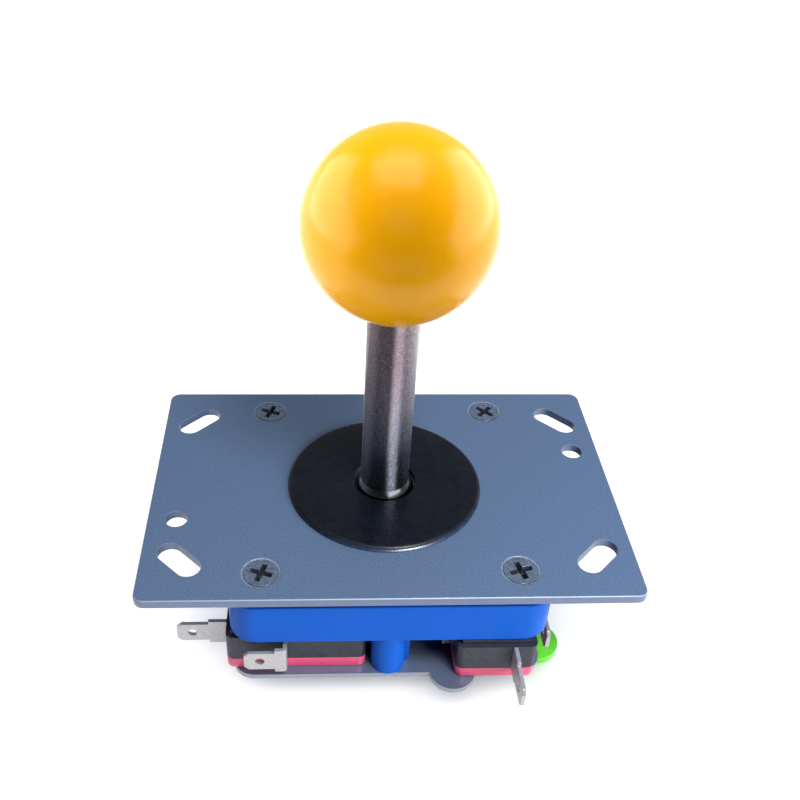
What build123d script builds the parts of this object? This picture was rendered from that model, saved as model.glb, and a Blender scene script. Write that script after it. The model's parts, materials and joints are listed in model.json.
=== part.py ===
from build123d import *
import math
import os

# Millimetres. Z is up, z = 0 is the top face of the mounting plate, the lever axis is x = y = 0,
# X runs along the plate's long side and -Y is the front.

# Driving dimensions: mounting plate
plate_width = 97.0
plate_depth = 64.0
plate_thickness = 1.8
plate_corner = 2.2
plate_edge_round = 0.4
slot_length = 10.5
slot_width = 5.0
slot_from_side = 7.6
slot_from_front = 10.5
round_hole_radius = 2.25
round_hole_from_side = 5.9
round_hole_y = 10.35
plate_screw_radius = 1.95
plate_screw_head = 3.75
plate_screw_length = 11.0
plate_screw_inset = 6.5
plate_screw_turns = [-19, 17, -43, -22]
screw_rim = 0.3
recess_depth = 1.5
recess_width = 1.2
recess_length = 4.6
recess_taper = 15.0

# Driving dimensions: lever
tilt_limit = 8.0
ball_radius = 17.5
ball_height = 60.0
ball_flat_radius = 5.6
insert_radius = 4.5
insert_length = 14.0
stud_radius = 3.0
stud_length = 13.0
shaft_radius = 5.0
shaft_low_radius = 4.0
shaft_end_radius = 3.0
shaft_end_reach = 2.2
slot_in_shaft = 1.2
pivot_drop = 2.0
shaft_step_drop = 2.0
pivot_ball_radius = 6.5
bushing_wall = 1.4
running_clearance = 0.1
spring_wire = 0.5
spring_wire_sides = 8
spring_radius = 7.0
spring_height = 5.9
spring_turns = 3.0
actuator_height = 5.4
actuator_bevel = 0.6
spigot_height = 1.7
clip_radius = 5.5
clip_thickness = 0.8
clip_groove = 0.7
swing_clearance = 0.3

# Driving dimensions: dust washer and housing
washer_radius = 20.3
washer_thickness = 1.2
washer_round = 0.6
washer_foot_round = 0.4
washer_clearance = 0.25
housing_half = 31.5
housing_height = 11.1
housing_corner = 5.5
housing_wall = 2.2
housing_edge_round = 0.5
seam_height = 0.8
seam_inset = 0.8
roof_thickness = 2.8
cup_boss_wall = 2.4
cup_boss_height = 4.0
screw_boss_radius = 3.7
post_radius = 3.4
post_inset = 0.1
post_rib_reach = 4.3
post_rib_thickness = 2.0

# Driving dimensions: switches
switch_length = 27.8
switch_width = 15.9
case_thickness = 7.6
case_step = 1.2
case_step_inset = 0.9
cover_thickness = 2.6
switch_corner = 1.4
switch_overhang = 0.8
switch_setback = 2.3
switch_hole_radius = 1.55
switch_hole_from_end = 2.8
switch_hole_from_side = 2.6
switch_pin_clearance = 0.1
plunger_radius = 1.5
plunger_from_end = 8.5
plunger_height = 5.1
plunger_reach = 1.65
plunger_length = 5.85
plunger_travel = 0.8
sliding_clearance = 0.05
switch_lever_thickness = 0.4
switch_lever_width = 4.6
switch_lever_past_axis = 2.5
switch_lever_hinge_from_end = 6.3
switch_lever_eye = 0.6
eye_clearance = 0.15
eye_depth = 0.4
terminal_thickness = 0.8
terminal_wide = 6.3
terminal_narrow = 4.75
terminal_taper = 0.9
terminal_hole = 0.9
terminal_hole_from_tip = 3.1
terminal_root = 3.0
terminal_height = 5.8
open_terminal_length = 10.0
open_terminal_base = 3.7
open_terminal_from_front = 4.5
common_terminal_length = 8.4
common_terminal_base = 2.4
common_terminal_from_end = 12.1
common_terminal_stand = 2.9
terminal_bend = 0.7

# Driving dimensions: bottom plate and gate
bottom_inset = 0.3
bottom_corner = 4.5
bottom_thickness = 1.2
ear_radius = 4.65
ear_x = 12.95
ear_reach = 4.05
bottom_screw_radius = 1.4
bottom_screw_length = 9.2
bottom_recess_length = 3.2
bottom_recess_width = 0.7
bottom_recess_depth = 0.7
gate_thickness = 2.0
gate_rim = 6.0
gate_corner = 4.0
gate_wall = 1.3
gate_lip = 0.7
gate_lip_height = 1.0
gate_lip_clearance = 0.05
gate_key_width = 2.4
gate_key_reach = 1.5
gate_key_angle = 135.0
gate_turn = 45.0
gate_stop_room = 2.0
gate_tab_distance = 38.8
gate_tab_angle = -35.3
gate_tab_radius = 4.7
gate_tab_root = 3.0
gate_edge_round = 0.4

# Heights and places that follow from the driving dimensions
diagonal_tilt = math.radians(tilt_limit * math.sqrt(2))
plate_low = -plate_thickness
housing_roof = plate_low - roof_thickness
housing_low = plate_low - housing_height
pivot_z = -pivot_drop
bushing_inner = pivot_ball_radius + running_clearance
bushing_outer = bushing_inner + bushing_wall
cup_radius = bushing_outer + running_clearance
boss_low = housing_roof - cup_boss_height
washer_bore = math.sqrt(pivot_ball_radius**2 - pivot_drop**2) + washer_clearance
plate_bore = cup_radius + swing_clearance
screw_place = housing_half - plate_screw_inset
ball_low = ball_height - math.sqrt(ball_radius**2 - ball_flat_radius**2)
shaft_step = pivot_z - shaft_step_drop
actuator_top = boss_low - spring_height
actuator_low = actuator_top - actuator_height
clip_low = actuator_low - clip_thickness
groove_radius = shaft_end_radius - clip_groove
case_low = housing_low - case_thickness
cover_low = case_low - cover_thickness
switch_outer_end = -housing_half - switch_overhang
switch_inner_end = switch_outer_end + switch_length
switch_front = -housing_half + switch_setback
switch_back = switch_front + switch_width
plunger_x = switch_inner_end - plunger_from_end
plunger_z = cover_low + plunger_height
plunger_tip = switch_back + plunger_reach
terminal_z = cover_low + terminal_height
lever_outer = plunger_tip + sliding_clearance
lever_inner = lever_outer + switch_lever_thickness
hinge_x = switch_outer_end + switch_lever_hinge_from_end
hinge_y = switch_back - eye_depth
swing_at_actuator = (pivot_z - actuator_low) * math.sin(math.radians(tilt_limit))
actuator_radius = -lever_inner - swing_at_actuator - swing_clearance
bottom_half = housing_half - bottom_inset
bottom_low = cover_low - bottom_thickness
ear_y = -bottom_half - ear_reach + ear_radius
post_place = housing_half - post_radius - post_inset
gate_low = bottom_low - gate_thickness
gate_opening = shaft_end_radius + (pivot_z - gate_low) * math.tan(diagonal_tilt) + swing_clearance
gate_hub = (gate_opening - gate_corner) * math.sqrt(2) + gate_corner + gate_wall
gate_disc = gate_hub + gate_rim
shaft_end = gate_low - shaft_end_reach

sides = ["front", "right", "back", "left"]


def upright(radius, low, high, x=0.0, y=0.0):
    """A cylinder along Z between two heights."""
    return Pos(x, y, (low + high) / 2) * Cylinder(radius, high - low)


def block(x0, x1, y0, y1, z0, z1):
    """A box between two corners."""
    return Pos((x0 + x1) / 2, (y0 + y1) / 2, (z0 + z1) / 2) * Box(x1 - x0, y1 - y0, z1 - z0)


def rounded_slab(half_x, half_y, corner, low, high):
    """A flat slab about the lever axis with rounded upright corners."""
    outline = RectangleRounded(2 * half_x, 2 * half_y, corner)
    return extrude(Pos(0, 0, low) * outline, high - low)


def quarter_turns(shape):
    """The shape and its copies at 90, 180 and 270 degrees about the lever axis."""
    return [Rot(0, 0, 90 * step) * shape for step in range(4)]


def corner_places(x, y):
    """The four mirror images of a point."""
    return [(-x, -y), (x, -y), (x, y), (-x, y)]


def countersunk_screw(x, y):
    """Plain outline of one plate screw, its head flush with the plate's top."""
    head = Pos(x, y, plate_low / 2) * Cone(plate_screw_radius, plate_screw_head, plate_thickness)
    return head + upright(plate_screw_radius, -plate_screw_length, plate_low, x, y)


def cross_recess(length, width, depth):
    """Crossed slots with tapered walls for a screw head, sunk from z = 0."""
    outline = Rectangle(length, width) + Rectangle(width, length)
    return extrude(outline, -depth, taper=recess_taper)


def bevelled_rims(shape, radius):
    """Bevel the round edges of one radius, such as the rims of screw heads or of their seats."""
    circles = shape.edges().filter_by(GeomType.CIRCLE)
    return chamfer(circles.filter_by(lambda edge: abs(edge.radius - radius) < radius / 100), screw_rim)


def make_mounting_plate():
    """Steel plate with four diagonal slots, two round holes and four countersunk screw seats."""
    plate = rounded_slab(plate_width / 2, plate_depth / 2, plate_corner, plate_low, 0)
    plate = fillet(plate.faces().sort_by(Axis.Z)[-1].outer_wire().edges(), plate_edge_round)
    plate -= upright(plate_bore, 2 * plate_low, plate_thickness)
    for x, y in corner_places(plate_width / 2 - slot_from_side, plate_depth / 2 - slot_from_front):
        turn = -45 if x * y > 0 else 45
        outline = Pos(x, y, 2 * plate_low) * Rot(0, 0, turn) * SlotOverall(slot_length, slot_width)
        plate -= extrude(outline, 3 * plate_thickness)
    round_hole_x = plate_width / 2 - round_hole_from_side
    for side in (-1, 1):
        plate -= upright(round_hole_radius, 2 * plate_low, plate_thickness, side * round_hole_x, side * round_hole_y)
    for x, y in corner_places(screw_place, screw_place):
        plate -= countersunk_screw(x, y)
    return bevelled_rims(plate, plate_screw_head)


def make_plate_screws():
    """Four countersunk screws with bevelled rims and cross recesses, each stopped at its own turn."""
    screw = bevelled_rims(countersunk_screw(0, 0), plate_screw_head)
    screw -= cross_recess(recess_length, recess_width, recess_depth)
    places = zip(corner_places(screw_place, screw_place), plate_screw_turns)
    return Compound(children=[Pos(x, y) * Rot(0, 0, turn) * screw for (x, y), turn in places])


def make_dust_washer():
    """Black disc that lies on the plate around the foot of the shaft."""
    washer = upright(washer_radius, 0, washer_thickness)
    washer -= upright(washer_bore, -washer_thickness, 2 * washer_thickness)
    top_rim = washer.edges().group_by(Axis.Z)[-1].sort_by(SortBy.RADIUS)[-1]
    washer = fillet(top_rim, washer_round)
    foot_rim = washer.edges().group_by(Axis.Z)[0].sort_by(SortBy.RADIUS)[-1]
    return fillet(foot_rim, washer_foot_round)


def switch_uprights(radius, low, high):
    """Two upright cylinders at the mounting holes of the front switch."""
    outer = (switch_outer_end + switch_hole_from_end, switch_back - switch_hole_from_side)
    inner = (switch_inner_end - switch_hole_from_end, switch_front + switch_hole_from_side)
    return [upright(radius, low, high, *outer), upright(radius, low, high, *inner)]


def housing_shell():
    """Skirt and roof of the housing, with a narrower neck that leaves a seam under the plate."""
    body = rounded_slab(housing_half, housing_half, housing_corner, housing_low, plate_low - seam_height)
    rims = [body.faces().sort_by(Axis.Z)[end].outer_wire().edges() for end in (0, -1)]
    body = fillet(rims[0] + rims[1], housing_edge_round)
    neck = housing_half - seam_inset
    body += rounded_slab(neck, neck, housing_corner - seam_inset, housing_roof, plate_low)
    inside = housing_half - housing_wall
    hollow = rounded_slab(inside, inside, housing_corner - housing_wall, housing_low - housing_wall, housing_roof)
    return body - hollow


def make_base_housing():
    """Moulded body: shell, bearing cup, screw bosses, posts and switch pins."""
    body = housing_shell()
    body += upright(cup_radius + cup_boss_wall, boss_low, housing_roof)
    for x, y in corner_places(screw_place, screw_place):
        body += upright(screw_boss_radius, housing_low, housing_roof, x, y)
    post = upright(post_radius, cover_low, housing_roof, 0, -post_place)
    post += block(0, post_rib_reach, -post_place, -post_place + post_rib_thickness, cover_low, housing_roof)
    body += quarter_turns(post)
    pin_low = cover_low + switch_hole_radius - switch_pin_clearance
    for pin in switch_uprights(switch_hole_radius - switch_pin_clearance, pin_low, housing_roof):
        body += quarter_turns(pin)
    cup_hole = shaft_low_radius + (pivot_z - boss_low) * math.tan(diagonal_tilt) + 2 * swing_clearance
    body -= Pos(0, 0, pivot_z) * Sphere(cup_radius)
    body -= upright(cup_hole, boss_low - cup_boss_height, pivot_z)
    for x, y in corner_places(screw_place, screw_place):
        body -= countersunk_screw(x, y)
    body -= quarter_turns(bottom_screw())
    return body


def make_pivot_bushing():
    """Plastic liner between the ball of the lever and the cup of the housing."""
    shell = Sphere(bushing_outer) - Sphere(bushing_inner)
    hole = shaft_low_radius + bushing_outer * math.tan(math.radians(tilt_limit))
    shell -= upright(hole, -2 * bushing_outer, 0)
    top = plate_low - pivot_z + running_clearance
    shell -= upright(2 * bushing_outer, top, 2 * bushing_outer)
    return Pos(0, 0, pivot_z) * shell


def shaft_outline():
    """Stepped steel shaft without its groove, slot and stud."""
    upper = upright(shaft_radius, shaft_step, ball_low)
    lower = upright(shaft_low_radius, actuator_top, shaft_step)
    return upper + lower + upright(shaft_end_radius, shaft_end, actuator_top)


def make_shaft():
    """Shaft with clip groove, screwdriver slot and the stud for the ball."""
    shaft = shaft_outline()
    shaft = chamfer(shaft.edges().group_by(Axis.Z)[0], slot_in_shaft / 2)
    groove = upright(shaft_low_radius, clip_low, actuator_low) - upright(groove_radius, clip_low, actuator_low)
    shaft -= groove
    half = slot_in_shaft / 2
    shaft -= block(-half, half, -shaft_radius, shaft_radius, shaft_end - 1, shaft_end + slot_in_shaft)
    return shaft + upright(stud_radius, ball_low, ball_low + stud_length)


def make_pivot_ball():
    """Ball pressed on the shaft at the plate's level."""
    return Pos(0, 0, pivot_z) * Sphere(pivot_ball_radius) - shaft_outline()


def make_ball_insert():
    """Brass thread insert inside the ball top."""
    return upright(insert_radius, ball_low, ball_low + insert_length) - make_shaft()


def make_ball_top():
    """Ball grip with a flat at the shaft and a blind hole for the insert."""
    ball = Pos(0, 0, ball_height) * Sphere(ball_radius)
    ball -= upright(ball_radius, ball_low - ball_radius, ball_low)
    return ball - upright(insert_radius, ball_low, ball_low + insert_length)


def make_return_spring():
    """Compression spring between the bearing boss and the actuator, its wire drawn with flat sides."""
    low = actuator_top + spring_wire
    height = spring_height - 2 * spring_wire
    path = Pos(0, 0, low) * Helix(height / spring_turns, height, spring_radius)
    profile = Plane(origin=path @ 0, z_dir=path % 0) * RegularPolygon(spring_wire, spring_wire_sides)
    return sweep(profile, path=path, is_frenet=True)


def make_actuator():
    """Round cam on the shaft that reaches the switch levers, with a spigot inside the spring."""
    cam = upright(actuator_radius, actuator_low, actuator_top)
    cam = chamfer(cam.edges().filter_by(GeomType.CIRCLE), actuator_bevel)
    spigot = spring_radius - 2 * spring_wire
    cam += upright(spigot, actuator_low, actuator_top + spigot_height)
    return cam - shaft_outline()


def make_shaft_clip():
    """Open retaining clip in the groove under the actuator."""
    clip = upright(clip_radius, clip_low, actuator_low) - upright(groove_radius, clip_low, actuator_low)
    mouth = groove_radius * math.sin(math.radians(60))
    return clip - block(-mouth, mouth, -2 * clip_radius, 0, clip_low, actuator_low)


def make_switch_case():
    """Upper half of the front switch: plunger guide, lever pocket and terminal slots."""
    step_z = housing_low - case_step
    case = block(switch_outer_end, switch_inner_end, switch_front, switch_back, case_low, step_z)
    case = fillet(case.edges().filter_by(Axis.Z), switch_corner)
    inset = case_step_inset
    case += block(switch_outer_end + inset, switch_inner_end - inset, switch_front + inset, switch_back - inset,
                  step_z, housing_low)
    for hole in switch_uprights(switch_hole_radius, case_low, housing_low):
        case -= hole
    depth = plunger_length - plunger_reach + plunger_travel + 1
    guide = Cylinder(plunger_radius + sliding_clearance, 2 * depth)
    case -= Pos(plunger_x, switch_back, plunger_z) * Rot(90, 0, 0) * guide
    room = switch_lever_eye + eye_clearance
    pocket_top = plunger_z + switch_lever_width / 2 + eye_clearance
    case -= upright(room, case_low, pocket_top, hinge_x, hinge_y)
    case -= block(hinge_x - room, hinge_x + room, hinge_y, switch_back, case_low, pocket_top)
    case -= make_common_terminal()
    return case - make_open_terminal()


def make_switch_cover():
    """Lower half of the front switch, a thin coloured lid."""
    cover = block(switch_outer_end, switch_inner_end, switch_front, switch_back, cover_low, case_low)
    cover = fillet(cover.edges().filter_by(Axis.Z), switch_corner)
    for hole in switch_uprights(switch_hole_radius, cover_low, case_low):
        cover -= hole
    return cover


def make_plunger():
    """Round pin with a domed tip that slides in the front switch's case."""
    straight = plunger_length - plunger_radius
    dome_y = plunger_tip - plunger_radius
    pin = Pos(plunger_x, dome_y - straight / 2, plunger_z) * Rot(90, 0, 0) * Cylinder(plunger_radius, straight)
    return pin + Pos(plunger_x, dome_y, plunger_z) * Sphere(plunger_radius)


def make_switch_lever():
    """Spring-steel lever of the front switch, with a rolled end in the case pocket."""
    low = plunger_z - switch_lever_width / 2
    high = plunger_z + switch_lever_width / 2
    half = switch_lever_thickness / 2
    eye = upright(switch_lever_eye, low, high, hinge_x, hinge_y)
    neck = block(hinge_x - half, hinge_x + half, hinge_y, lever_outer, low, high)
    return eye + neck + block(hinge_x - half, switch_lever_past_axis, lever_outer, lever_inner, low, high)


def blade_outline(length, base):
    """Flat quick-connect blade along +X: wide base, narrow part with a tapered tip, one hole."""
    wide = Pos(base / 2, 0) * Rectangle(base, terminal_wide)
    tip = Pos(length / 2, 0) * Rectangle(length, terminal_narrow)
    tip = chamfer(tip.vertices().sort_by(Axis.X)[-2:], terminal_taper)
    return wide + tip - Pos(length - terminal_hole_from_tip, 0) * Circle(terminal_hole)


def upright_blade(x, y, length, base):
    """Blade in an upright plane that runs from x towards -X, its thickness centred on y."""
    plane = Plane(origin=(x, y + terminal_thickness / 2, terminal_z), x_dir=(-1, 0, 0), z_dir=(0, -1, 0))
    return extrude(plane * blade_outline(length, base), terminal_thickness)


def make_open_terminal():
    """Straight blade at the outer end of the front switch."""
    y = switch_front + open_terminal_from_front
    length = terminal_root + open_terminal_length
    return upright_blade(switch_outer_end + terminal_root, y, length, terminal_root + open_terminal_base)


def make_common_terminal():
    """Blade on the outer side of the front switch, bent along that side."""
    x = switch_outer_end + common_terminal_from_end
    y = switch_front - common_terminal_stand
    blade = upright_blade(x, y, common_terminal_length, common_terminal_base)
    half = terminal_wide / 2
    root = block(x - terminal_thickness, x, y - terminal_thickness / 2, switch_front + terminal_root,
                 terminal_z - half, terminal_z + half)
    tab = blade + root
    bend = tab.edges().filter_by(Axis.Z).sort_by(lambda edge: edge.center().Y - edge.center().X)[0]
    return fillet(bend, terminal_bend)


def bottom_screw():
    """Outline of the front screw of the bottom plate, its countersunk head flush with the underside."""
    head_radius = bottom_screw_radius + bottom_thickness
    head = Pos(0, -post_place, bottom_low + bottom_thickness / 2) \
        * Cone(head_radius, bottom_screw_radius, bottom_thickness)
    return head + upright(bottom_screw_radius, cover_low, bottom_low + bottom_screw_length, 0, -post_place)


def make_bottom_screws():
    """Four screws of the bottom plate with cross recesses in the underside."""
    recess = cross_recess(bottom_recess_length, bottom_recess_width, bottom_recess_depth)
    recess = Pos(0, -post_place, bottom_low) * Rot(180, 0, 0) * recess
    return Compound(children=quarter_turns(bottom_screw() - recess))


def on_circle(radius, degrees):
    """Point at a radius and an angle about the lever axis."""
    return (radius * math.cos(math.radians(degrees)), radius * math.sin(math.radians(degrees)))


def sector(radius, start, stop):
    """Flat pie piece about the lever axis between two angles in degrees."""
    first = on_circle(radius, start)
    last = on_circle(radius, stop)
    arc = ThreePointArc(first, on_circle(radius, (start + stop) / 2), last)
    return make_face([Line((0, 0), first), arc, Line(last, (0, 0))])


def make_bottom_plate():
    """Steel bottom plate with one ear, screw seats and the hole for the gate with its stop notch."""
    plate = rounded_slab(bottom_half, bottom_half, bottom_corner, bottom_low, cover_low)
    plate += upright(ear_radius, bottom_low, cover_low, ear_x, ear_y)
    plate -= upright(gate_hub + running_clearance, bottom_low, cover_low)
    key_half_angle = math.degrees(gate_key_width / 2 / gate_hub)
    start = gate_key_angle - key_half_angle - gate_stop_room
    stop = gate_key_angle + gate_turn + key_half_angle + gate_stop_room
    notch = sector(gate_hub + gate_key_reach + 2 * running_clearance, start, stop)
    plate -= extrude(Pos(0, 0, bottom_low) * notch, bottom_thickness)
    plate -= quarter_turns(bottom_screw())
    return plate


def gate_outline():
    """Flat outline of the gate along +X: a disc with a finger tab, rounded where they meet."""
    tab = Pos(gate_tab_distance / 2, 0) * Rectangle(gate_tab_distance, 2 * gate_tab_radius)
    outline = Circle(gate_disc) + tab + Pos(gate_tab_distance, 0) * Circle(gate_tab_radius)
    root_x = math.sqrt(gate_disc**2 - gate_tab_radius**2)
    roots = outline.vertices().filter_by(lambda vertex: abs(vertex.X - root_x) < gate_edge_round)
    return fillet(roots, gate_tab_root)


def make_restrictor_gate():
    """Gate under the bottom plate: disc, finger tab, hub with snap lip, stop key and square opening."""
    gate = extrude(Pos(0, 0, gate_low) * Rot(0, 0, gate_tab_angle) * gate_outline(), gate_thickness)
    gate = fillet(gate.faces().sort_by(Axis.Z)[0].outer_wire().edges(), gate_edge_round)
    hub_top = cover_low + gate_lip_height
    gate += upright(gate_hub, bottom_low, hub_top)
    gate += upright(gate_hub + gate_lip, cover_low + gate_lip_clearance, hub_top)
    key_half = gate_key_width / 2
    key = block(0, gate_hub + gate_key_reach, -key_half, key_half, bottom_low, cover_low - gate_lip_clearance)
    gate += Rot(0, 0, gate_key_angle) * key
    return gate - rounded_slab(gate_opening, gate_opening, gate_corner, gate_low, hub_top)


def write(name, shape):
    """Save one piece."""
    export_step(shape, os.path.join("parts", name + ".step"))


os.makedirs("parts", exist_ok=True)
write("mounting_plate", make_mounting_plate())
write("plate_screws", make_plate_screws())
write("dust_washer", make_dust_washer())
write("base_housing", make_base_housing())
write("pivot_bushing", make_pivot_bushing())
write("pivot_ball", make_pivot_ball())
write("shaft", make_shaft())
write("ball_top", make_ball_top())
write("ball_insert", make_ball_insert())
write("return_spring", make_return_spring())
write("actuator", make_actuator())
write("shaft_clip", make_shaft_clip())
write("bottom_plate", make_bottom_plate())
write("bottom_screws", make_bottom_screws())
write("restrictor_gate", make_restrictor_gate())

switch_pieces = {
    "case": make_switch_case(),
    "cover": make_switch_cover(),
    "plunger": make_plunger(),
    "lever": make_switch_lever(),
    "common_terminal": make_common_terminal(),
    "open_terminal": make_open_terminal(),
}
for number, side in enumerate(sides):
    for piece, shape in switch_pieces.items():
        write("switch_" + side + "_" + piece, Rot(0, 0, 90 * number) * shape)
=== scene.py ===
import json
import math

import bmesh
import bpy
from mathutils import Matrix, Vector


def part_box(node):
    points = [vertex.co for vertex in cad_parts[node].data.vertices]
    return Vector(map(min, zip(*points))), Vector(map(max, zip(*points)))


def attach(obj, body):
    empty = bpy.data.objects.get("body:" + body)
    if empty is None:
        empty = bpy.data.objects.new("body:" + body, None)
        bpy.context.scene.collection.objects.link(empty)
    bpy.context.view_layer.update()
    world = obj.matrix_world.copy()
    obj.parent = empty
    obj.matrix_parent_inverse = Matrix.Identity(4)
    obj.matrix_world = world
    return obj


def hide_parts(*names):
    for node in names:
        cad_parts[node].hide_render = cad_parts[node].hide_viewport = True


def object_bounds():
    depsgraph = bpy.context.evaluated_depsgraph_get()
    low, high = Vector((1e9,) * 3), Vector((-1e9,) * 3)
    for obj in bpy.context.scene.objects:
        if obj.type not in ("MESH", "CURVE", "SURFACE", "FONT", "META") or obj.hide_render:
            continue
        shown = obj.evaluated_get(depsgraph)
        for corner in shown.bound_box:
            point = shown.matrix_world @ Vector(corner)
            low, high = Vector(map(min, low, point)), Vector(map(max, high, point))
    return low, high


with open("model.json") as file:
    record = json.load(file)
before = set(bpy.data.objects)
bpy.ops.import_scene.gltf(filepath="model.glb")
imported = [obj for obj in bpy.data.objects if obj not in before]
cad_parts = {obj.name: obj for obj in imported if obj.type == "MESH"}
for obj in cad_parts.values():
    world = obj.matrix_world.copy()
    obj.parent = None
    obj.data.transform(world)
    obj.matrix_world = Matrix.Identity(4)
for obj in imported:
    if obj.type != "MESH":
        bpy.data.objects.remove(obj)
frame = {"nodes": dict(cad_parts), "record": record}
cad_box = [list(corner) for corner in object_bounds()]
nodes = frame["nodes"]
body_of_node = {}
for body_name, members in frame["record"]["behaviour"]["bodies"].items():
    for member in members:
        body_of_node[member] = body_name

MM = 0.001
SIDES = ["front", "right", "back", "left"]

# The photograph's view
IMAGE_SIZE = 800
SENSOR_MM = 36.0
FOCAL_PIXELS = 940.7
VIEW_CENTRE_PIXEL = (359.9, 411.3)
CAMERA_PLACE = Vector((-14.8, -148.3, 134.2)) * MM
CAMERA_DOWN_DEG = 37.70
CAMERA_YAW_DEG = 3.51
CAMERA_ROLL_DEG = -2.09
CAMERA_NEAREST = 5.0 * MM

# Meshes: sides of a turned piece, distance within which points are one, steps of a rounded edge,
# and the angles under which faces are one face and over which an edge is sharp
TURNED_SIDES = 160
SAME_POINT = 1e-7
EDGE_STEPS = 2
SAME_FACE_DEG = 0.5
SHARP_DEG = 35.0

# Ball: steps of its curve, and where the curve and the flat stop short of the flat's edge
BALL_STEPS = 96
BALL_EDGE_DEG = 1.5
BALL_EDGE_INSET = 0.35 * MM

# Rounds of the dust washer's rims
WASHER_TOP_ROUND = 0.95 * MM
WASHER_FOOT_ROUND = 0.2 * MM
WASHER_BORE_ROUND = 0.3 * MM

# Return spring: radius of its wire, free turns, the room that they need at full tilt, steps of a turn,
# and sides of the wire
SPRING_WIRE = 0.5 * MM
SPRING_TURNS = 2
SPRING_SWING = 1.15 * MM
COIL_STEPS = 64
COIL_SIDES = 12

# How much higher the bottom plate's screws sit in their seats than in the CAD
BOTTOM_SCREW_SINK = 0.03 * MM

# Distances from the middle of the plate beyond which its edges belong to the sheared outline
PLATE_OUTLINE_X = 47.0 * MM
PLATE_OUTLINE_Y = 30.5 * MM

# Plate screws: distance from the middle along X and Y, radius of a head's face, width over which painted
# shade darkens the groove round it, and the heights between which painted shade darkens the recess
PLATE_SCREW_PLACE = 25.0 * MM
PLATE_SCREW_FACE = 3.4 * MM
GROOVE_SHADE_BORDER = 0.1 * MM
RECESS_SHADE_TOP = -0.05 * MM
RECESS_SHADE_DEEP = -0.3 * MM

# Heights between which the shaft's painted reflection tint runs from cool grey to warm
REFLECTION_COOL_HEIGHT = 6.0 * MM
REFLECTION_WARM_HEIGHT = 34.0 * MM

# Heights between which painted shadow turns the housing dark towards its joint with the mounting plate
PLATE_SHADOW_FOOT = -3.3 * MM
PLATE_SHADOW_TOP = -2.5 * MM

# Span of the noise that is spread over a change of colour or of roughness
NOISE_LOW = 0.3
NOISE_HIGH = 0.7

# Stage: half the floor's width, the line where its near part begins, and the places that lights face
FLOOR_HALF = 4.0
FLOOR_SPLIT = -0.11
BALL_MIDDLE = (0.0, 0.0, 0.06)
SHAFT_FOOT = (0.0, 0.0, 0.02)
PLATE_MIDDLE = (0.0, 0.0, 0.0)


# Mesh helpers

def finish_mesh(name, work, smooth_deg):
    """Turn a bmesh into a linked object with smooth shading and sharp edges where the faces turn."""
    bmesh.ops.recalc_face_normals(work, faces=work.faces)
    mesh = bpy.data.meshes.new(name)
    work.to_mesh(mesh)
    work.free()
    mesh.shade_smooth()
    mesh.set_sharp_from_angle(angle=math.radians(smooth_deg))
    piece = bpy.data.objects.new(name, mesh)
    bpy.context.scene.collection.objects.link(piece)
    return piece


def stands_for(piece, *replaced):
    """Let a piece ride on the body of the nodes that it replaces, and hide those nodes."""
    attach(piece, body_of_node[replaced[0]])
    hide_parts(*replaced)
    return piece


def dress(piece, material):
    """Give a piece its one material."""
    piece.data.materials.clear()
    piece.data.materials.append(material)
    return piece


def lathe(work, profile):
    """Revolve a profile of (radius, height) points about the lever axis."""
    rings = []
    for radius, height in profile:
        if radius < SAME_POINT:
            rings.append([work.verts.new((0.0, 0.0, height))])
            continue
        ring = []
        for step in range(TURNED_SIDES):
            angle = 2 * math.pi * step / TURNED_SIDES
            ring.append(work.verts.new((radius * math.cos(angle), radius * math.sin(angle), height)))
        rings.append(ring)
    for low, high in zip(rings, rings[1:]):
        for step in range(TURNED_SIDES):
            after = (step + 1) % TURNED_SIDES
            places = [(low, step), (low, after), (high, after), (high, step)]
            corners = [ring[index % len(ring)] for ring, index in places]
            work.faces.new(list(dict.fromkeys(corners)))


def arc(centre, radius, start_deg, stop_deg, steps):
    """Points of a circular arc in a plane."""
    points = []
    for step in range(steps + 1):
        angle = math.radians(start_deg + (stop_deg - start_deg) * step / steps)
        points.append((centre[0] + radius * math.cos(angle), centre[1] + radius * math.sin(angle)))
    return points


def coil(work, radius, wire, start, stop, turns):
    """Round wire wound about the lever axis from one height to another."""
    steps = turns * COIL_STEPS
    rings = []
    for step in range(steps + 1):
        angle = 2 * math.pi * step / COIL_STEPS
        height = start + (stop - start) * step / steps
        ring = []
        for side in range(COIL_SIDES):
            turn = 2 * math.pi * side / COIL_SIDES
            reach = radius + wire * math.cos(turn)
            rise = height + wire * math.sin(turn)
            ring.append(work.verts.new((reach * math.cos(angle), reach * math.sin(angle), rise)))
        rings.append(ring)
    for first, second in zip(rings, rings[1:]):
        for side in range(COIL_SIDES):
            after = (side + 1) % COIL_SIDES
            work.faces.new((first[side], first[after], second[after], second[side]))
    return rings


def softened(node, width):
    """A copy of a CAD node with its sharp edges rounded, standing for that node."""
    work = bmesh.new()
    work.from_mesh(nodes[node].data)
    bmesh.ops.remove_doubles(work, verts=work.verts, dist=SAME_POINT)
    bmesh.ops.dissolve_limit(work, angle_limit=math.radians(SAME_FACE_DEG), verts=work.verts,
                             edges=work.edges)
    edges = [edge for edge in work.edges
             if len(edge.link_faces) == 2 and edge.calc_face_angle() > math.radians(SHARP_DEG)]
    bmesh.ops.bevel(work, geom=edges, offset=width, offset_type="OFFSET", segments=EDGE_STEPS, profile=0.5,
                    affect="EDGES", clamp_overlap=True)
    piece = finish_mesh(node + "_rounded", work, SHARP_DEG)
    even = piece.modifiers.new("flat_faces_stay_flat", "WEIGHTED_NORMAL")
    even.keep_sharp = True
    return stands_for(piece, node)


# Material helpers; an owner is a material or the world

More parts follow.
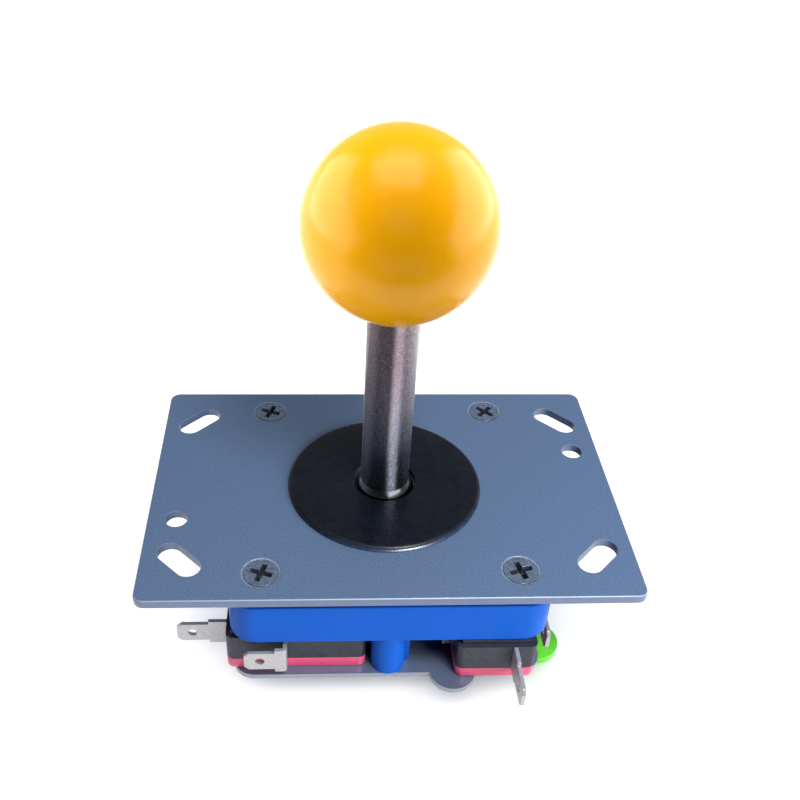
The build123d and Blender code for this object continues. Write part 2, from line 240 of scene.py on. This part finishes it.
def new_material(name, values):
    """A material with a principled shader whose plain sockets are set from a dictionary."""
    material = bpy.data.materials.new(name)
    material.use_nodes = True
    shader = material.node_tree.nodes["Principled BSDF"]
    for socket, value in values.items():
        shader.inputs[socket].default_value = value
    return material


def feed(material, socket, source):
    """Link a texture to a socket of the material's shader."""
    tree = material.node_tree
    tree.links.new(source, tree.nodes["Principled BSDF"].inputs[socket])


def place_axis(owner, kind, axis):
    """One axis of a place, a normal or a direction."""
    tree = owner.node_tree
    place = tree.nodes.new("ShaderNodeTexCoord")
    parts = tree.nodes.new("ShaderNodeSeparateXYZ")
    tree.links.new(place.outputs[kind], parts.inputs["Vector"])
    return parts.outputs[axis]


def noise(material, scale, detail, stretch=(1.0, 1.0, 1.0)):
    """Noise in the part's own coordinates; scale counts features along a metre."""
    tree = material.node_tree
    place = tree.nodes.new("ShaderNodeTexCoord")
    mapping = tree.nodes.new("ShaderNodeMapping")
    mapping.inputs["Scale"].default_value = stretch
    texture = tree.nodes.new("ShaderNodeTexNoise")
    texture.inputs["Scale"].default_value = scale
    texture.inputs["Detail"].default_value = detail
    tree.links.new(place.outputs["Object"], mapping.inputs["Vector"])
    tree.links.new(mapping.outputs["Vector"], texture.inputs["Vector"])
    return texture.outputs["Fac"]


def spread(owner, source, low, high, to_low=0.0, to_high=1.0):
    """Map a texture from one range to another, clamped."""
    tree = owner.node_tree
    span = tree.nodes.new("ShaderNodeMapRange")
    for socket, value in zip(("From Min", "From Max", "To Min", "To Max"), (low, high, to_low, to_high)):
        span.inputs[socket].default_value = value
    tree.links.new(source, span.inputs["Value"])
    return span.outputs["Result"]


def combine(owner, operation, first, second=0.0):
    """A math node on a texture and a number or a second texture."""
    tree = owner.node_tree
    step = tree.nodes.new("ShaderNodeMath")
    step.operation = operation
    tree.links.new(first, step.inputs[0])
    if isinstance(second, float):
        step.inputs[1].default_value = second
    else:
        tree.links.new(second, step.inputs[1])
    return step.outputs["Value"]


def upright(material):
    """How far a face looks straight up or down, from 0 to 1."""
    return combine(material, "ABSOLUTE", place_axis(material, "Normal", "Z"))


def beyond(material, axis, limit):
    """Distance beyond a limit on both sides of the middle, along one axis; negative inside it."""
    away = combine(material, "ABSOLUTE", place_axis(material, "Object", axis))
    return combine(material, "SUBTRACT", away, limit)


def between(material, factor, first, second):
    """Colour that runs from the first to the second; each is a colour or a texture."""
    tree = material.node_tree
    mix = tree.nodes.new("ShaderNodeMix")
    mix.data_type = "RGBA"
    tree.links.new(factor, mix.inputs["Factor"])
    for socket, colour in (("A", first), ("B", second)):
        if isinstance(colour, tuple):
            mix.inputs[socket].default_value = (*colour, 1.0)
        else:
            tree.links.new(colour, mix.inputs[socket])
    return mix.outputs["Result"]


def vary_colour(material, source, dark, light):
    """Base colour that runs between two colours with a texture."""
    factor = spread(material, source, NOISE_LOW, NOISE_HIGH)
    feed(material, "Base Color", between(material, factor, dark, light))


def vary_roughness(material, source, smooth, rough):
    """Roughness that runs between two values with a texture."""
    feed(material, "Roughness", spread(material, source, NOISE_LOW, NOISE_HIGH, smooth, rough))


def add_bump(material, source, strength, height):
    """Small relief from a texture; height is in metres."""
    tree = material.node_tree
    bump = tree.nodes.new("ShaderNodeBump")
    bump.inputs["Strength"].default_value = strength
    bump.inputs["Distance"].default_value = height
    tree.links.new(source, bump.inputs["Height"])
    feed(material, "Normal", bump.outputs["Normal"])


# Materials

def yellow_ball_material():
    """Polished plastic, with the faint waves of a moulding."""
    material = new_material("gloss_yellow", {
        "Roughness": 0.2, "IOR": 1.48, "Specular IOR Level": 0.2, "Coat Weight": 0.05, "Coat Roughness": 0.12,
        "Subsurface Weight": 0.08, "Subsurface Scale": 0.002,
    })
    vary_colour(material, noise(material, 60, 2.0), (0.84, 0.375, 0.0006), (0.88, 0.40, 0.0008))
    vary_roughness(material, noise(material, 400, 2.0), 0.20, 0.26)
    add_bump(material, noise(material, 220, 1.0), 0.05, 0.00004)
    return material


def plate_material():
    """Zinc plating with a fine grain, painted highlights on its rounded rims, and painted shade on the walls
    in the holes.
    """
    material = new_material("zinc_plate", {"Metallic": 0.3, "Roughness": 0.42})
    grain = spread(material, noise(material, 2400, 4.0), 0.25, 0.75)
    face = between(material, grain, (0.072, 0.123, 0.230), (0.116, 0.190, 0.335))
    beyond_x = beyond(material, "X", PLATE_OUTLINE_X)
    beyond_y = beyond(material, "Y", PLATE_OUTLINE_Y)
    outline = combine(material, "GREATER_THAN", combine(material, "MAXIMUM", beyond_x, beyond_y))
    # Painted shade: walls are darker in the holes than on the outline.
    wall = between(material, outline, (0.10, 0.13, 0.21), (0.125, 0.16, 0.25))
    # Painted highlight: tilted faces of the rounded rims turn bright, brightest round the holes.
    rim_highlight = between(material, outline, (0.40, 0.47, 0.60), (0.31, 0.37, 0.48))
    up = upright(material)
    edge = between(material, spread(material, up, 0.35, 0.65), wall, rim_highlight)
    feed(material, "Base Color", between(material, spread(material, up, 0.97, 0.86), face, edge))
    vary_roughness(material, noise(material, 1200, 3.0), 0.36, 0.5)
    add_bump(material, noise(material, 3200, 3.0), 0.2, 0.00003)
    return material


def shaft_material():
    """Ground steel: fine marks run round the shaft so reflections stretch along it; painted reflection tints
    it by height.
    """
    material = new_material("ground_steel", {
        "Metallic": 1.0, "Roughness": 0.3, "Anisotropic": 1.0, "Anisotropic Rotation": 0.25,
    })
    # Painted reflection: cool grey low down, darker and warm towards the top.
    height = spread(material, place_axis(material, "Object", "Z"), REFLECTION_COOL_HEIGHT, REFLECTION_WARM_HEIGHT)
    reflection_tint = between(material, height, (0.18, 0.20, 0.24), (0.16, 0.124, 0.141))
    dull_reflection_tint = between(material, height, (0.115, 0.128, 0.156), (0.102, 0.080, 0.091))
    grain = spread(material, noise(material, 3000, 3.0), 0.40, 0.60)
    feed(material, "Base Color", between(material, grain, dull_reflection_tint, reflection_tint))
    vary_roughness(material, noise(material, 2500, 2.0), 0.26, 0.36)
    add_bump(material, noise(material, 3400, 2.0), 0.7, 0.00002)
    return material


def bright_steel_material():
    """Turned and polished steel of the pivot ball."""
    material = new_material("bright_steel", {"Metallic": 1.0, "Roughness": 0.2})
    vary_colour(material, noise(material, 700, 3.0), (0.13, 0.136, 0.152), (0.18, 0.188, 0.206))
    vary_roughness(material, noise(material, 1800, 2.0), 0.16, 0.28)
    return material


def plate_screw_material():
    """Zinc plating, with painted shade that makes it dull and dark in the cross recess and in the groove
    round the head.
    """
    material = new_material("zinc_plate_screw", {"Metallic": 0.6, "Roughness": 0.3})
    grain = spread(material, noise(material, 1100, 3.0), NOISE_LOW, NOISE_HIGH)
    face = between(material, grain, (0.11, 0.155, 0.25), (0.19, 0.26, 0.38))
    off_x = combine(material, "POWER", beyond(material, "X", PLATE_SCREW_PLACE), 2.0)
    off_y = combine(material, "POWER", beyond(material, "Y", PLATE_SCREW_PLACE), 2.0)
    away = combine(material, "SQRT", combine(material, "ADD", off_x, off_y))
    # Painted shade: the groove round each head and the cross recess turn dark.
    groove_shade = spread(material, away, PLATE_SCREW_FACE, PLATE_SCREW_FACE + GROOVE_SHADE_BORDER)
    height = place_axis(material, "Object", "Z")
    recess_shade = spread(material, height, RECESS_SHADE_TOP, RECESS_SHADE_DEEP)
    dark = combine(material, "MAXIMUM", groove_shade, recess_shade)
    feed(material, "Base Color", between(material, dark, face, (0.06, 0.072, 0.10)))
    vary_roughness(material, noise(material, 2600, 2.0), 0.22, 0.36)
    add_bump(material, noise(material, 3500, 2.0), 0.12, 0.00002)
    return material


def bottom_screw_material():
    """Bright zinc plating."""
    material = new_material("zinc_screw", {"Metallic": 1.0, "Roughness": 0.3})
    vary_colour(material, noise(material, 1500, 3.0), (0.30, 0.35, 0.44), (0.44, 0.50, 0.60))
    vary_roughness(material, noise(material, 2600, 2.0), 0.2, 0.34)
    return material


def washer_material():
    """Smooth black plastic."""
    material = new_material("black_washer", {"Roughness": 0.28, "Specular IOR Level": 0.26})
    vary_colour(material, noise(material, 500, 3.0), (0.0022, 0.0036, 0.007), (0.0045, 0.0065, 0.0115))
    vary_roughness(material, noise(material, 2500, 2.0), 0.26, 0.30)
    add_bump(material, noise(material, 2600, 2.0), 0.05, 0.00002)
    return material


def housing_material():
    """Satin moulding, with painted shadow that is darkest in the joint under the mounting plate."""
    material = new_material("blue_moulding", {"Roughness": 0.34, "Specular IOR Level": 0.05})
    wall = between(material, noise(material, 120, 3.0), (0.004, 0.074, 0.40), (0.007, 0.088, 0.45))
    # Painted shadow of the mounting plate: the housing darkens towards the plate.
    plate_shadow = spread(material, place_axis(material, "Object", "Z"), PLATE_SHADOW_FOOT, PLATE_SHADOW_TOP)
    feed(material, "Base Color", between(material, plate_shadow, wall, (0.001, 0.020, 0.15)))
    vary_roughness(material, noise(material, 700, 3.0), 0.28, 0.4)
    add_bump(material, noise(material, 1600, 2.0), 0.08, 0.00002)
    return material


def case_material():
    """Satin black moulding of the switches."""
    material = new_material("black_case", {"Roughness": 0.45, "Specular IOR Level": 0.4})
    vary_colour(material, noise(material, 900, 3.0), (0.013, 0.015, 0.025), (0.022, 0.025, 0.040))
    vary_roughness(material, noise(material, 1500, 3.0), 0.38, 0.55)
    add_bump(material, noise(material, 2400, 2.0), 0.15, 0.00002)
    return material


def cover_material():
    """Red moulding of the switches' covers, slightly translucent."""
    material = new_material("red_cover", {
        "Roughness": 0.35, "IOR": 1.5, "Subsurface Weight": 0.1, "Subsurface Scale": 0.001,
    })
    vary_colour(material, noise(material, 300, 3.0), (0.57, 0.062, 0.14), (0.64, 0.08, 0.18))
    vary_roughness(material, noise(material, 1500, 3.0), 0.28, 0.42)
    return material


def bottom_plate_material():
    """Dark mirror-like plating with a painted highlight that brightens its outline."""
    material = new_material("dark_plating", {"Metallic": 0.5, "Roughness": 0.16})
    face = between(material, noise(material, 400, 3.0), (0.12, 0.16, 0.25), (0.17, 0.22, 0.32))
    # Painted highlight: faces that do not look straight up or down turn brighter.
    edge_highlight = spread(material, upright(material), 0.95, 0.6)
    feed(material, "Base Color", between(material, edge_highlight, face, (0.27, 0.285, 0.33)))
    vary_roughness(material, noise(material, 1400, 3.0), 0.1, 0.2)
    return material


def terminal_material():
    """Tin plating with a grain that is finer along Z."""
    material = new_material("tinned_terminal", {"Metallic": 0.55, "Roughness": 0.34})
    grain = noise(material, 1200, 3.0, (1.0, 1.0, 4.0))
    vary_colour(material, grain, (0.35, 0.345, 0.35), (0.46, 0.455, 0.465))
    vary_roughness(material, noise(material, 2500, 3.0), 0.26, 0.42)
    return material


def gate_material():
    """Green moulding, slightly translucent."""
    material = new_material("green_moulding", {
        "Roughness": 0.3, "IOR": 1.5, "Subsurface Weight": 0.15, "Subsurface Scale": 0.0015,
    })
    vary_colour(material, noise(material, 250, 3.0), (0.085, 0.47, 0.022), (0.12, 0.55, 0.035))
    vary_roughness(material, noise(material, 1300, 3.0), 0.24, 0.38)
    return material


def nylon_material():
    """White nylon, slightly translucent."""
    material = new_material("white_nylon", {
        "Roughness": 0.42, "IOR": 1.53, "Subsurface Weight": 0.15, "Subsurface Scale": 0.001,
    })
    vary_colour(material, noise(material, 300, 3.0), (0.72, 0.72, 0.69), (0.80, 0.80, 0.77))
    vary_roughness(material, noise(material, 1300, 3.0), 0.36, 0.5)
    return material


def spring_material():
    """Bare spring steel."""
    material = new_material("spring_wire", {"Metallic": 1.0, "Roughness": 0.28})
    vary_colour(material, noise(material, 800, 3.0), (0.42, 0.42, 0.43), (0.58, 0.58, 0.59))
    vary_roughness(material, noise(material, 2200, 3.0), 0.22, 0.36)
    return material


def brass_material():
    """Plain brass."""
    material = new_material("brass_insert", {"Metallic": 1.0, "Roughness": 0.3})
    vary_colour(material, noise(material, 900, 3.0), (0.60, 0.42, 0.16), (0.72, 0.52, 0.22))
    vary_roughness(material, noise(material, 2200, 3.0), 0.24, 0.4)
    return material


# Pieces

def make_ball(material):
    """Ball grip turned about the lever axis, with a rounded edge at its flat."""
    low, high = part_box("ball_top")
    radius = (high.x - low.x) / 2
    centre = high.z - radius
    flat = math.sqrt(radius**2 - (centre - low.z) ** 2)
    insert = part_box("ball_insert")[1]
    start = math.degrees(math.atan2(low.z - centre, flat)) + BALL_EDGE_DEG
    edge = (flat - BALL_EDGE_INSET, low.z)
    profile = [(0.0, insert.z), (insert.x, insert.z), (insert.x, low.z), edge]
    profile += arc((0.0, centre), radius, start, 90.0, BALL_STEPS)[:-1] + [(0.0, high.z)]
    work = bmesh.new()
    lathe(work, profile)
    return dress(stands_for(finish_mesh("ball_grip", work, 40), "ball_top"), material)


def make_washer(material):
    """Dust washer with rounded rims."""
    low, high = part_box("dust_washer")
    radius = high.x
    bore = min(math.hypot(vertex.co.x, vertex.co.y) for vertex in nodes["dust_washer"].data.vertices)
    foot, top, inner = WASHER_FOOT_ROUND, WASHER_TOP_ROUND, WASHER_BORE_ROUND
    profile = [(bore, low.z)]
    profile += arc((radius - foot, low.z + foot), foot, -90.0, 0.0, 5)
    profile += arc((radius - top, high.z - top), top, 0.0, 90.0, 10)
    profile += arc((bore + inner, high.z - inner), inner, 90.0, 180.0, 5)
    profile.append((bore, low.z))
    work = bmesh.new()
    lathe(work, profile)
    bmesh.ops.remove_doubles(work, verts=work.verts, dist=SAME_POINT)
    return dress(stands_for(finish_mesh("washer_disc", work, 50), "dust_washer"), material)


def make_spring(material):
    """Return spring: its end coil stays on the housing's boss, and its free turns tilt with the lever."""
    low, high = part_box("return_spring")
    radius = high.x - SPRING_WIRE
    seat_height = high.z - SPRING_WIRE
    work = bmesh.new()
    coil(work, radius, SPRING_WIRE, seat_height, seat_height, 1)
    bmesh.ops.remove_doubles(work, verts=work.verts, dist=SAME_POINT)
    seat = finish_mesh("spring_end_coil", work, 60)
    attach(seat, "base")
    dress(seat, material)
    foot = low.z + SPRING_WIRE
    top = seat_height - 2 * SPRING_WIRE - SPRING_SWING
    work = bmesh.new()
    ends = coil(work, radius, SPRING_WIRE, foot, top, SPRING_TURNS)
    work.faces.new(ends[0])
    work.faces.new(ends[-1])
    dress(stands_for(finish_mesh("spring_turns", work, 60), "return_spring"), material)


def of_each_switch(word):
    """Names of the four switches' nodes of one kind."""
    return ["switch_" + side + "_" + word for side in SIDES]


def make_softened_pieces(looks):
    """Rounded copies of the stamped and moulded CAD pieces, each with its look and its round in mm."""
    finishes = {
        "mounting_plate": ("plate", 0.2),
        "base_housing": ("housing", 0.2),
        "bottom_plate": ("bottom_plate", 0.2),
        "restrictor_gate": ("gate", 0.3),
        "actuator": ("nylon", 0.15),
        "shaft_clip": ("spring", 0.1),
        "shaft": ("shaft", 0.1),
        "plate_screws": ("plate_screw", 0.07),
        "bottom_screws": ("bottom_screw", 0.05),
    }
    of_switches = {
        "case": ("case", 0.2),
        "cover": ("cover", 0.25),
        "common_terminal": ("terminal", 0.12),
        "open_terminal": ("terminal", 0.12),
    }
    for word, finish in of_switches.items():
        for node in of_each_switch(word):
            finishes[node] = finish
    pieces = {}
    for node, (look, width) in finishes.items():
        pieces[node] = dress(softened(node, width * MM), looks[look])
    for vertex in pieces["bottom_screws"].data.vertices:
        vertex.co.z += BOTTOM_SCREW_SINK
    return pieces


def dress_plain_nodes(looks):
    """Finishes of the CAD nodes that are shown as they are."""
    plain = {"pivot_bushing": "nylon", "pivot_ball": "bright", "ball_insert": "brass"}
    for node in of_each_switch("lever"):
        plain[node] = "spring"
    for node in of_each_switch("plunger"):
        plain[node] = "nylon"
    for node, look in plain.items():
        dress(nodes[node], looks[look])


# Stage

def make_sheet(name, near, far, material):
    """A flat part of the floor between two distances along Y."""
    left, right = -FLOOR_HALF, FLOOR_HALF
    height = cad_box[0][2]
    mesh = bpy.data.meshes.new(name)
    corners = [(left, near, height), (right, near, height), (right, far, height), (left, far, height)]
    mesh.from_pydata(corners, [], [(0, 1, 2, 3)])
    mesh.materials.append(material)
    sheet = bpy.data.objects.new(name, mesh)
    bpy.context.scene.collection.objects.link(sheet)
    return sheet


def make_floor():
    """Pale floor; its near part is left out of reflections, so the ball's front reflects a dark room."""
    material = new_material("pale_floor", {"Base Color": (0.93, 0.93, 0.93, 1.0), "Roughness": 0.8})
    far = make_sheet("floor", FLOOR_SPLIT, FLOOR_HALF, material)
    near = make_sheet("floor_near", -FLOOR_HALF, FLOOR_SPLIT, material)
    near.visible_glossy = False
    near.visible_diffuse = False
    return [far, near]


def add_softbox(name, place, size, radiance, aim=None):
    """Rectangular area light that faces straight down, or towards a point."""
    light = bpy.data.lights.new(name, "AREA")
    light.shape = "RECTANGLE"
    light.size, light.size_y = size
    light.energy = radiance * math.pi * size[0] * size[1]
    lamp = bpy.data.objects.new(name, light)
    lamp.location = place
    if aim is not None:
        lamp.rotation_euler = (Vector(aim) - Vector(place)).to_track_quat("-Z", "Y").to_euler()
    lamp.visible_camera = False
    bpy.context.scene.collection.objects.link(lamp)
    return lamp


def light_group(lamp, pieces, state, role="receiver"):
    """Let a light reach only some pieces or all but them, or choose which pieces shade it."""
    group = bpy.data.collections.new(lamp.name + "_" + role)
    for piece in pieces:
        group.objects.link(piece)
    for row in group.collection_objects:
        row.light_linking.link_state = state
    setattr(lamp.light_linking, role + "_collection", group)


def make_floor_light(floor):
    """Wide ceiling of light that keeps the floor pale; the part throws no shadow from its second half."""
    place = (0.0, 0.0, 1.3)
    size = (9.0, 9.0)
    ceiling = add_softbox("ceiling", place, size, 1.05)
    fill = add_softbox("ceiling_fill", place, size, 0.95)
    for lamp in (ceiling, fill):
        light_group(lamp, floor, "INCLUDE")
    light_group(fill, floor, "INCLUDE", "blocker")


def make_ball_lights(ball):
    """Three soft windows that only the gloss of the ball shows, and fills that only its colour shows."""
    windows = [add_softbox("overhead", (-0.055, -0.012, 0.6), (0.45, 0.40), 3.7)]
    fills = [
        add_softbox("ball_fill", (-0.04, -0.40, 0.34), (0.3, 0.2), 2.0, BALL_MIDDLE),
        add_softbox("ball_top_fill", (0.03, 0.05, 0.42), (0.3, 0.3), 5.0, BALL_MIDDLE),
        add_softbox("ball_low_fill", (0.0, -0.36, -0.06), (0.4, 0.12), 2.4, BALL_MIDDLE),
    ]
    lean = Matrix.Rotation(math.radians(34.0), 4, "X")
    on_edge = Matrix.Rotation(math.radians(90), 4, "Z")
    for name, side in (("side_left", -1), ("side_right", 1)):
        place = (side * 0.5, 0.19, 0.19)
        inward = Matrix.Rotation(math.radians(90 * side), 4, "Y")
        window = add_softbox(name, place, (1.1, 0.6), 3.8)
        window.matrix_world = Matrix.Translation(place) @ lean @ inward @ on_edge
        windows.append(window)
        fills.append(add_softbox(name + "_fill", (side * 0.42, 0.06, 0.18), (0.4, 0.5), 4.2, BALL_MIDDLE))
    for lamp in windows:
        lamp.visible_diffuse = False
    for lamp in fills:
        lamp.visible_glossy = False
    for lamp in windows + fills:
        light_group(lamp, [ball], "INCLUDE")


def make_part_lights(ball, shaft, pivot, washer, floor):
    """A high key that throws the ball's soft shadow to the back left, a low key, a fill and two glints."""
    high = add_softbox("key_high", (0.12, -0.21, 0.46), (0.14, 0.14), 34.0, PLATE_MIDDLE)
    low = add_softbox("key_low", (0.21, -0.18, 0.13), (0.18, 0.18), 12.0, PLATE_MIDDLE)
    fill = add_softbox("fill", (-0.05, 0.05, 0.55), (0.6, 0.6), 0.6)
    for lamp in (high, low, fill):
        light_group(lamp, [ball, shaft, pivot] + floor, "EXCLUDE")
    low.visible_glossy = False
    light_group(low, [ball, shaft], "EXCLUDE", "blocker")
    glint = add_softbox("pivot_glint", (0.22, -0.26, 0.17), (0.34, 0.12), 3.8, SHAFT_FOOT)
    light_group(glint, [pivot], "INCLUDE")
    rim_highlight = add_softbox("washer_glint", (0.11, -0.23, -0.04), (0.10, 0.12), 190.0, PLATE_MIDDLE)
    rim_highlight.data.color = (0.84, 0.92, 1.0)
    light_group(rim_highlight, [washer], "INCLUDE")
    light_group(rim_highlight, [washer], "INCLUDE", "blocker")


def make_shaft_lights(shaft, floor):
    """A streak down the shaft's front, more light for its upper part, and a pale line at its right."""
    streak = add_softbox("shaft_streak", (0.155, -0.308, 0.17), (0.22, 0.12), 33.0, SHAFT_FOOT)
    side = add_softbox("shaft_side", (0.15, 0.006, -0.055), (0.30, 0.06), 4.8, (0.0, 0.0, -0.055))
    front = add_softbox("shaft_front", (0.03, -0.062, -0.018), (0.07, 0.02), 6.0, (0.0, 0.0, -0.018))
    side.data.color = (0.92, 1.0, 0.97)
    light_group(side, floor, "EXCLUDE", "blocker")
    for lamp in (streak, side, front):
        light_group(lamp, [shaft], "INCLUDE")


def make_world():
    """Surround that is bright low behind the part and dark behind the camera; white where it is seen."""
    world = bpy.data.worlds.new("studio")
    world.use_nodes = True
    tree = world.node_tree
    background = tree.nodes["Background"]
    background.inputs["Color"].default_value = (0.98, 0.99, 1.0, 1.0)
    behind = spread(world, place_axis(world, "Generated", "Y"), -0.6, 0.8, 0.08, 0.6)
    low_down = spread(world, place_axis(world, "Generated", "Z"), 0.2, 0.75, 1.0, 0.25)
    surround = combine(world, "MULTIPLY", behind, low_down)
    rays = tree.nodes.new("ShaderNodeLightPath")
    strength = combine(world, "MAXIMUM", surround, rays.outputs["Is Camera Ray"])
    tree.links.new(strength, background.inputs["Strength"])
    bpy.context.scene.world = world


def make_camera():
    """Camera at the photograph's place, with its lens and its off-centre view."""
    pitch = math.radians(CAMERA_DOWN_DEG)
    yaw = math.radians(CAMERA_YAW_DEG)
    roll = math.radians(CAMERA_ROLL_DEG)
    ahead = Vector((math.sin(yaw) * math.cos(pitch), math.cos(yaw) * math.cos(pitch), -math.sin(pitch)))
    right = Vector((math.cos(yaw), -math.sin(yaw), 0.0))
    down = ahead.cross(right)
    image_x = math.cos(roll) * right + math.sin(roll) * down
    image_down = math.cos(roll) * down - math.sin(roll) * right
    turn = Matrix((image_x, -image_down, -ahead)).transposed()
    data = bpy.data.cameras.new("camera")
    data.sensor_width = SENSOR_MM
    data.lens = FOCAL_PIXELS * SENSOR_MM / IMAGE_SIZE
    data.shift_x = (IMAGE_SIZE / 2 - VIEW_CENTRE_PIXEL[0]) / IMAGE_SIZE
    data.shift_y = (VIEW_CENTRE_PIXEL[1] - IMAGE_SIZE / 2) / IMAGE_SIZE
    data.clip_start = CAMERA_NEAREST
    camera = bpy.data.objects.new("camera", data)
    camera.matrix_world = Matrix.Translation(CAMERA_PLACE) @ turn.to_4x4()
    bpy.context.scene.collection.objects.link(camera)
    bpy.context.scene.camera = camera


looks = {
    "ball": yellow_ball_material(),
    "plate": plate_material(),
    "shaft": shaft_material(),
    "bright": bright_steel_material(),
    "plate_screw": plate_screw_material(),
    "bottom_screw": bottom_screw_material(),
    "washer": washer_material(),
    "housing": housing_material(),
    "case": case_material(),
    "cover": cover_material(),
    "bottom_plate": bottom_plate_material(),
    "terminal": terminal_material(),
    "gate": gate_material(),
    "nylon": nylon_material(),
    "spring": spring_material(),
    "brass": brass_material(),
}
ball = make_ball(looks["ball"])
washer = make_washer(looks["washer"])
make_spring(looks["spring"])
rounded = make_softened_pieces(looks)
dress_plain_nodes(looks)
floor = make_floor()
make_floor_light(floor)
make_ball_lights(ball)
make_part_lights(ball, rounded["shaft"], nodes["pivot_ball"], washer, floor)
make_shaft_lights(rounded["shaft"], floor)
make_world()
make_camera()
bpy.context.scene.view_settings.view_transform = "Standard"
